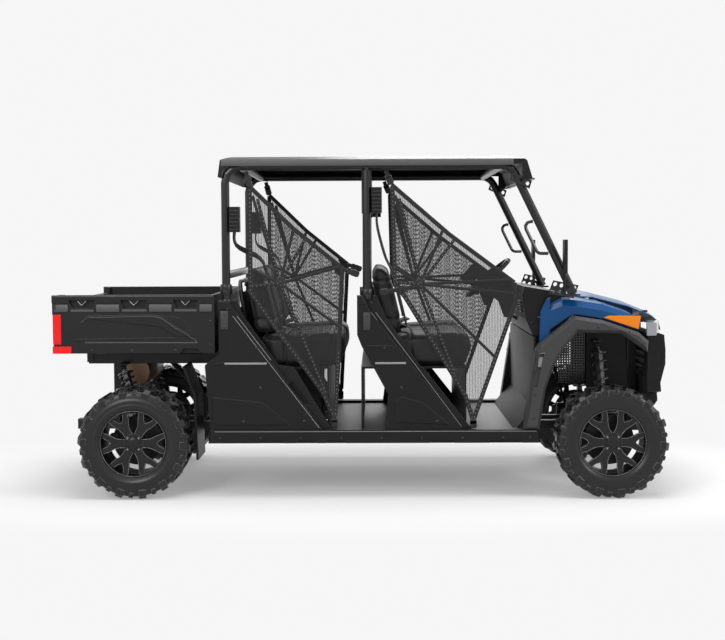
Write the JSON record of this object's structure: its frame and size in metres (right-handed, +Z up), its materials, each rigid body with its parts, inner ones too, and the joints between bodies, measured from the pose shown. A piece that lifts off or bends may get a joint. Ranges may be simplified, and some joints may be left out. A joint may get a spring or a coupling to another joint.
{
  "type": "side by side utility vehicle",
  "caption": "Two-row side by side utility vehicle with a tubular cage and roof, door nets, a tipping cargo bed with a drop tailgate, steered front wheels and a lifting hood.",
  "frame": {"origin": "on the ground under the middle of the vehicle's box", "axes": "+X forward, +Y towards the driver's side (the vehicle's left), +Z up"},
  "size_m": [3.7102, 1.613, 2.062],
  "materials": {
    "tyre": "matte rubber with moulded lugs",
    "wheel": "satin black paint",
    "chassis": "satin black powder coat",
    "arms": "satin black powder coat",
    "drive": "bare casting, dull",
    "cage": "satin black powder coat",
    "trim": "grained black moulding",
    "bed": "grained dark grey moulding",
    "hood": "blue metallic clear coat",
    "red_lens": "clear red lens",
    "amber_lens": "clear amber lens",
    "clear_lens": "clear lens",
    "seat": "black coated fabric, soft grain",
    "net": "black woven webbing and mesh",
    "strut": "polished rod",
    "engine": "cast, dull",
    "exhaust": "heat-tinted steel"
  },
  "bodies": {
    "chassis": {"rear_knuckles": "drive", "control_arms_front": "arms", "control_arms_rear": "arms", "shocks": "arms", "driveline": "drive", "main_frame": "chassis", "floor_pan": "trim", "seat_boxes": "trim", "seat_side_panels": "trim", "sills": "trim", "cage_side_hoops": "cage", "cage_middle_posts": "cage", "cage_cross_bars": "cage", "roof_panel": "trim", "front_fascia": "trim", "front_flares": "trim", "front_fenders": "hood", "dashboard": "trim", "turn_lamps": "amber_lens", "headlamps": "clear_lens", "steering_gear": "arms", "seat_bases": "seat", "seat_backs": "seat", "side_nets": "net", "mirrors": "trim", "grab_handles": "cage", "belt_reels": "trim", "seat_frames": "cage", "engine_block": "engine", "exhaust_muffler": "exhaust", "rear_mudguards": "trim"},
    "knuckle_front_right_body": {"knuckle_front_right": "drive"},
    "knuckle_front_left_body": {"knuckle_front_left": "drive"},
    "wheel_front_right": {"tyre_front_right": "tyre", "rim_front_right": "wheel"},
    "wheel_front_left": {"tyre_front_left": "tyre", "rim_front_left": "wheel"},
    "wheel_rear_right": {"tyre_rear_right": "tyre", "rim_rear_right": "wheel"},
    "wheel_rear_left": {"tyre_rear_left": "tyre", "rim_rear_left": "wheel"},
    "cargo_bed": {"cargo_box": "bed", "box_side_panels": "bed", "tail_lamps": "red_lens", "box_subframe": "chassis"},
    "bed_tailgate": {"tailgate": "bed"},
    "hood_body": {"hood": "hood"},
    "steering_wheel_body": {"steering_wheel": "trim"},
    "steering_rack_body": {"steering_rack": "arms"},
    "strut_tube_body": {"strut_tube": "chassis"},
    "strut_rod_body": {"strut_rod": "strut"}
  },
  "joints": [
    {"name": "steer_right", "type": "hinge", "parent": "chassis", "child": "knuckle_front_right_body", "pos_m": [1.48589, -0.59, 0.334], "axis": [0, 0, 1], "range_deg": [-28, 28]},
    {"name": "steer_left", "type": "hinge", "parent": "chassis", "child": "knuckle_front_left_body", "pos_m": [1.48589, 0.59, 0.334], "axis": [0, 0, 1], "range_deg": [-28, 28]},
    {"name": "wheel_spin_front_right", "type": "hinge", "parent": "knuckle_front_right_body", "child": "wheel_front_right", "pos_m": [1.48589, -0.692, 0.334], "axis": [0, 1, 0], "continuous": true},
    {"name": "wheel_spin_front_left", "type": "hinge", "parent": "knuckle_front_left_body", "child": "wheel_front_left", "pos_m": [1.48589, 0.692, 0.334], "axis": [0, 1, 0], "continuous": true},
    {"name": "wheel_spin_rear_right", "type": "hinge", "parent": "chassis", "child": "wheel_rear_right", "pos_m": [-1.35411, -0.667, 0.334], "axis": [0, 1, 0], "continuous": true},
    {"name": "wheel_spin_rear_left", "type": "hinge", "parent": "chassis", "child": "wheel_rear_left", "pos_m": [-1.35411, 0.667, 0.334], "axis": [0, 1, 0], "continuous": true},
    {"name": "rack_slide", "type": "slide", "parent": "chassis", "child": "steering_rack_body", "axis": [0, 1, 0], "range_m": [-0.053, 0.053]},
    {"name": "steering_wheel_turn", "type": "hinge", "parent": "chassis", "child": "steering_wheel_body", "pos_m": [0.8449, 0.33, 1.28], "axis": [-0.6607, 0, 0.7507], "range_deg": [-270, 270]},
    {"name": "bed_tilt", "type": "hinge", "parent": "chassis", "child": "cargo_bed", "pos_m": [-1.69832, 0, 0.80043], "axis": [0, -1, 0], "range_deg": [0, 40]},
    {"name": "tailgate_drop", "type": "hinge", "parent": "cargo_bed", "child": "bed_tailgate", "pos_m": [-1.80734, 0, 0.88972], "axis": [0, -1, 0], "range_deg": [0, 90]},
    {"name": "hood_lift", "type": "hinge", "parent": "chassis", "child": "hood_body", "pos_m": [1.26948, 0, 1.18463], "axis": [0, -1, 0], "range_deg": [0, 60]},
    {"name": "strut_swing", "type": "hinge", "parent": "chassis", "child": "strut_tube_body", "pos_m": [-1.04512, 0.12, 0.5103], "axis": [0, 1, 0], "range_deg": [0, 7.73]},
    {"name": "strut_extend", "type": "slide", "parent": "strut_tube_body", "child": "strut_rod_body", "axis": [-0.685, 0, 0.7286], "range_m": [0, 0.24207]}
  ],
  "couplings": [
    {"joint": "steer_left", "follows": "steer_right", "ratio": 1},
    {"joint": "rack_slide", "follows": "steer_right", "m_per_rad": -0.1057},
    {"joint": "steering_wheel_turn", "follows": "steer_right", "ratio": 9.6},
    {"joint": "strut_swing", "follows": "bed_tilt", "ratio": 0.18831},
    {"joint": "strut_extend", "follows": "bed_tilt", "m_per_rad": 0.34244}
  ]
}
